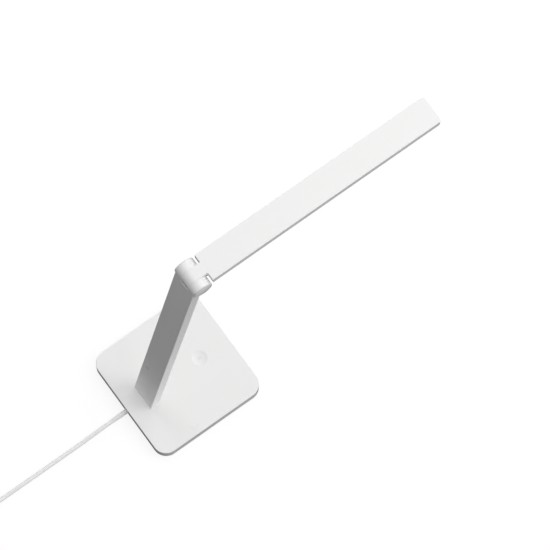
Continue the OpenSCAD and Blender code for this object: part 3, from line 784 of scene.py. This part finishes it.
@dataclass
class Ties:
    """The two soft straps that hold the coil together, in millimetres."""

    middle: Point = (-320.0, 33.0, 0.0)
    cord_r: float = 2.5
    width: float = 8.0
    thickness: float = 0.9
    angles: tuple[float, ...] = (20.0, 250.0)
    samples: int = 4
    ring_count: int = 24

    def loop(self, angle: float, line: Sequence[Vector]) -> list[Vector]:
        """Middle line of one strap, drawn tight round the turns of cord that it crosses.

        Args:
            angle: the strap's direction from the coil's middle, in degrees.
            line: the cord's middle line in metres.

        Returns:
            The line's points in metres.
        """
        turn = math.radians(angle)
        out, aside = Vector((math.cos(turn), math.sin(turn), 0.0)), Vector((-math.sin(turn), math.cos(turn), 0.0))
        middle, reach = Vector(self.middle) * MM, (self.cord_r + self.thickness / 2) * MM
        skin = []
        for a, b in zip(line, line[1:]):
            for k in range(self.samples):
                spot = a.lerp(b, k / self.samples) - middle
                if abs(spot.dot(aside)) < self.width / 2 * MM and spot.dot(out) > 0:
                    crossing = Vector((spot.dot(out), spot.z))
                    skin += round_ring(crossing, X.xy, Y.xy, reach, self.ring_count)
        return [middle + skin[k].x * out + skin[k].y * Z for k in convex_hull_2d(skin)]

    def build(self, line: Sequence[Vector], material: bpy.types.Material) -> list[bpy.types.Object]:
        """Make the straps.

        Args:
            line: the cord's middle line in metres.
            material: their finish.

        Returns:
            The straps.
        """
        straps = []
        for number, angle in enumerate(self.angles, 1):
            sweep = Sweep(f"coil_strap_{number}", Section.STRAP, self.width, self.thickness, closed=True)
            strap = sweep.build(self.loop(angle, line), material)
            hand_over(strap, Body.STAND, Slot.TIE, "coil_tie")
            straps.append(strap)
        return straps


@dataclass
class Plug:
    """The flat two-pin plug with its ribbed relief and its half-sleeved pins, in millimetres along the plug."""

    start: Point = (-300.0, 120.0, 6.9)
    relief_l: float = 18.0
    relief_r: float = 2.9
    relief_growth: float = 1.1
    relief_start: tuple[tuple[float, float], ...] = ((0.0, 2.62), (0.3, 2.8))
    relief_end: tuple[tuple[float, float], ...] = ((17.6, 4.0), (18.6, 4.1))
    grooves: int = 6
    groove_from: float = 2.0
    groove_step: float = 2.4
    groove_profile: tuple[tuple[float, float], ...] = ((0.0, 0.0), (0.25, 0.45), (0.95, 0.45), (1.2, 0.0))
    body_l: float = 36.0
    body_w: float = 35.0
    body_t: float = 13.4
    body_gap: float = 0.05
    body_steps: int = 180
    neck_w: float = 13.0
    neck_t: float = 11.0
    flare_l: float = 22.0
    grip_taper: float = 1.0
    edge_r: float = 1.4
    corner_r: float = 4.2
    ribs: tuple[float, float] = (20.5, 31.0)
    rib_step: float = 2.1
    rib_depth: float = 0.35
    pin_gap: float = 18.6
    pin_l: float = 19.0
    pin_r: float = 2.0
    pin_edge: float = 0.1
    tip_angles: tuple[float, ...] = (0.0, 0.3, 0.6, 0.9, 1.2, 1.45)
    sleeve_l: float = 10.0
    sleeve_r: float = 1.9
    sleeve_edge: float = 0.15
    sleeve_sunk: float = 0.5

    def at(self, along: float, aside: float = 0.0) -> Vector:
        """Point in the plug.

        Args:
            along: the distance from the relief's thin end.
            aside: the distance from the plug's middle line.

        Returns:
            The point in metres.
        """
        return (Vector(self.start) + Vector((along, aside, 0.0))) * MM

    def disc(self, along: float, r: float, aside: float = 0.0) -> list[Vector]:
        """Round ring across the plug.

        Args:
            along: its place along the plug.
            r: its radius.
            aside: its distance from the plug's middle line.

        Returns:
            The points in metres.
        """
        return round_ring(self.at(along, aside), Y, Z, r * MM)

    def slab(self, along: float, width: float, height: float, corner: float) -> list[Vector]:
        """Ring with round corners across the plug.

        Args:
            along: its place along the plug.
            width: its width.
            height: its height.
            corner: its corners' radius.

        Returns:
            The points in metres.
        """
        return pillow_ring(self.at(along), Y, Z, (width * MM, height * MM), corner * MM)

    def relief(self, material: bpy.types.Material) -> bpy.types.Object:
        """Make the relief: a taper cut by grooves into rings.

        Args:
            material: its finish.

        Returns:
            The relief.
        """
        rings = [self.disc(along, r) for along, r in self.relief_start]
        for k in range(self.grooves):
            along = self.groove_from + k * self.groove_step
            r = self.relief_r + self.relief_growth * along / self.relief_l
            rings += [self.disc(along + step, r - depth) for step, depth in self.groove_profile]
        rings += [self.disc(along, r) for along, r in self.relief_end]
        shape = Shape()
        shape.loft(rings)
        return shape.build("plug_relief_rings", [material])

    def body(self, material: bpy.types.Material) -> bpy.types.Object:
        """Make the body: it widens from the relief, with a row of finger ribs on each narrow side.

        Args:
            material: its finish.

        Returns:
            The body.
        """
        rings = []
        last, edge = self.body_l - self.body_gap, self.edge_r
        for step in range(self.body_steps + 1):
            along = last * step / self.body_steps
            grow = min(along / self.flare_l, 1.0)
            width = self.neck_w + (self.body_w - self.neck_w - self.grip_taper) * grow * grow * (3 - 2 * grow)
            width += self.grip_taper * max(0.0, along - self.flare_l) / (self.body_l - self.flare_l)
            height = self.neck_t + (self.body_t - self.neck_t) * grow * (2 - grow)
            ends = min(along, last - along, edge)
            inset = edge - math.sqrt(max(0.0, edge**2 - (edge - ends) ** 2))
            rib = 0.0
            if self.ribs[0] < along < self.ribs[1]:
                rib = self.rib_depth * (1 - math.cos(2 * math.pi * (along - self.ribs[0]) / self.rib_step))
            size = (width - 2 * inset - rib, height - 2 * inset)
            rings.append(self.slab(self.relief_l + along, *size, self.corner_r - inset))
        shape = Shape()
        shape.loft(rings)
        return shape.build("plug_shell", [material])

    def pins(self, metal: bpy.types.Material, sleeve: bpy.types.Material) -> bpy.types.Object:
        """Make the two pins, bare at their tips.

        Args:
            metal: the tips' finish.
            sleeve: the sleeves' finish.

        Returns:
            The pins.
        """
        shape = Shape()
        foot = self.relief_l + self.body_l
        bare, end = foot + self.sleeve_l, foot + self.pin_l
        for side in (-1, 1):
            aside = side * self.pin_gap / 2
            sleeve_rings = (
                (foot - self.sleeve_sunk, self.sleeve_r), (bare - self.sleeve_edge, self.sleeve_r),
                (bare, self.sleeve_r - self.sleeve_edge),
            )
            pin_rings = [(bare - self.pin_edge, self.pin_r - self.pin_edge), (bare + self.pin_edge, self.pin_r)]
            pin_rings += [
                (end - self.pin_r * (1 - math.sin(t)), self.pin_r * math.cos(t)) for t in self.tip_angles
            ]
            shape.loft([self.disc(along, r, aside) for along, r in sleeve_rings], finish=1)
            shape.loft([self.disc(along, r, aside) for along, r in pin_rings])
        return shape.build("plug_prongs", [metal, sleeve])

    def build(self, made: dict[Finish, bpy.types.Material]) -> list[bpy.types.Object]:
        """Make the whole plug.

        Args:
            made: the material built from each finish.

        Returns:
            The relief, the body and the pins.
        """
        relief, body = self.relief(made[RELIEF]), self.body(made[PLUG])
        pins = self.pins(made[PIN], made[PLUG])
        hand_over(relief, Body.STAND, Slot.PLUG, "plug_relief")
        hand_over(body, Body.STAND, Slot.PLUG, "plug_body")
        hand_over(pins, Body.STAND, Slot.PINS, "plug_pins")
        return [relief, body, pins]


@dataclass
class BaseScrews:
    """The four countersunk screws in the bottom plate, with their cross recess, in millimetres."""

    at: float = 66.0
    plate_z: float = 1.2
    plate_t: float = 1.2
    head_r: float = 3.0
    shank_r: float = 1.5
    length: float = 9.0
    arm: float = 1.7
    half: float = 0.42
    depth: float = 1.0
    taper: float = 0.55
    mouth: float = 0.05
    edge: tuple[float, float] = (0.1, 0.12)

    def cross(self, grow: float, z: float) -> list[Vector]:
        """Outline of the cross recess.

        Args:
            grow: its size as a share of the recess's mouth.
            z: its height.

        Returns:
            The points in metres.
        """
        a, h = self.arm * grow, self.half * grow
        quarter = [(a, -h), (a, h), (h, h)]
        corners = [*quarter, *((-y, x) for x, y in quarter)]
        corners += [(-x, -y) for x, y in corners]
        return [Vector((x, y, z)) * MM for x, y in corners]

    def rim(self, r: float, z: float) -> list[Vector]:
        """Points on the head, one for each corner of the recess.

        Args:
            r: their radius.
            z: their height.

        Returns:
            The points in metres.
        """
        rim = []
        for corner in self.cross(1.0, z):
            flat = Vector((corner.x, corner.y)).normalized() * r * MM
            rim.append(Vector((flat.x, flat.y, z * MM)))
        return rim

    def one(self) -> bpy.types.Object:
        """Make one screw with its head's middle at the origin, its shank upwards.

        Returns:
            The screw.
        """
        low = self.plate_z
        shape = Shape()
        shape.loft([
            self.cross(self.taper, low + self.depth), self.cross(1.0, low + self.mouth),
            self.rim(self.head_r - self.edge[0], low), self.rim(self.head_r, low + self.edge[1]),
            self.rim(self.shank_r, low + self.plate_t), self.rim(self.shank_r, low + self.length),
        ])
        return shape.build("screw", [])

    def build(self, material: bpy.types.Material) -> bpy.types.Object:
        """Make the four screws.

        Args:
            material: their finish.

        Returns:
            The screws as one object.
        """
        places = tuple(Vector((x * self.at, y * self.at, 0.0)) * MM for x in (-1, 1) for y in (-1, 1))
        screws = Row("base_cross_screws", places).build(self.one(), material)
        hand_over(screws, Body.STAND, Slot.SCREW, "bottom_screws")
        return screws


@dataclass
class LedStrip:
    """The row of LED chips over the diffuser, in millimetres; a chip's levels are height, width and corner."""

    first: Point = (83.0, 0.0, 426.55)
    step: float = 288.8 / 29
    count: int = 30
    levels: tuple[tuple[float, float, float], ...] = (
        (0.35, 3.0, 0.2), (-0.25, 3.0, 0.2), (-0.35, 2.8, 0.2), (-0.35, 2.2, 0.9), (-0.25, 2.0, 0.9),
        (-0.31, 1.2, 0.55), (-0.33, 0.5, 0.24),
    )

    def chip(self) -> bpy.types.Object:
        """Make one chip: a square package with a domed phosphor window underneath.

        Returns:
            The chip.
        """
        shape = Shape()
        shape.loft([
            pillow_ring(height * MM * Z, X, -Y, (width * MM, width * MM), corner * MM, 4)
            for height, width, corner in self.levels
        ])
        return shape.build("chip", [])

    def build(self, material: bpy.types.Material) -> bpy.types.Object:
        """Make the row.

        Args:
            material: the chips' finish.

        Returns:
            The chips as one object.
        """
        start = Vector(self.first)
        places = tuple((start + k * self.step * X) * MM for k in range(self.count))
        row = Row("led_row", places).build(self.chip(), material)
        hand_over(row, Body.HEAD, Slot.LED, "led_chips")
        return row


def main() -> None:
    """Build the lamp's looks and hand them to the frame."""
    logging.basicConfig(level=logging.INFO, format="%(name)s: %(message)s")
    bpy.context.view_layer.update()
    made = {finish: finish.build() for finish in CAD_FINISHES}
    Studio().build()
    dress_cad_nodes(made)
    cord = Cord()
    tube, line = cord.build(made[VINYL])
    straps = Ties().build(line, made[STRAP])
    plug = Plug().build(made)
    BaseScrews().build(made[SCREW])
    LedStrip().build(made[PHOSPHOR])


if __name__ == "__main__":
    main()
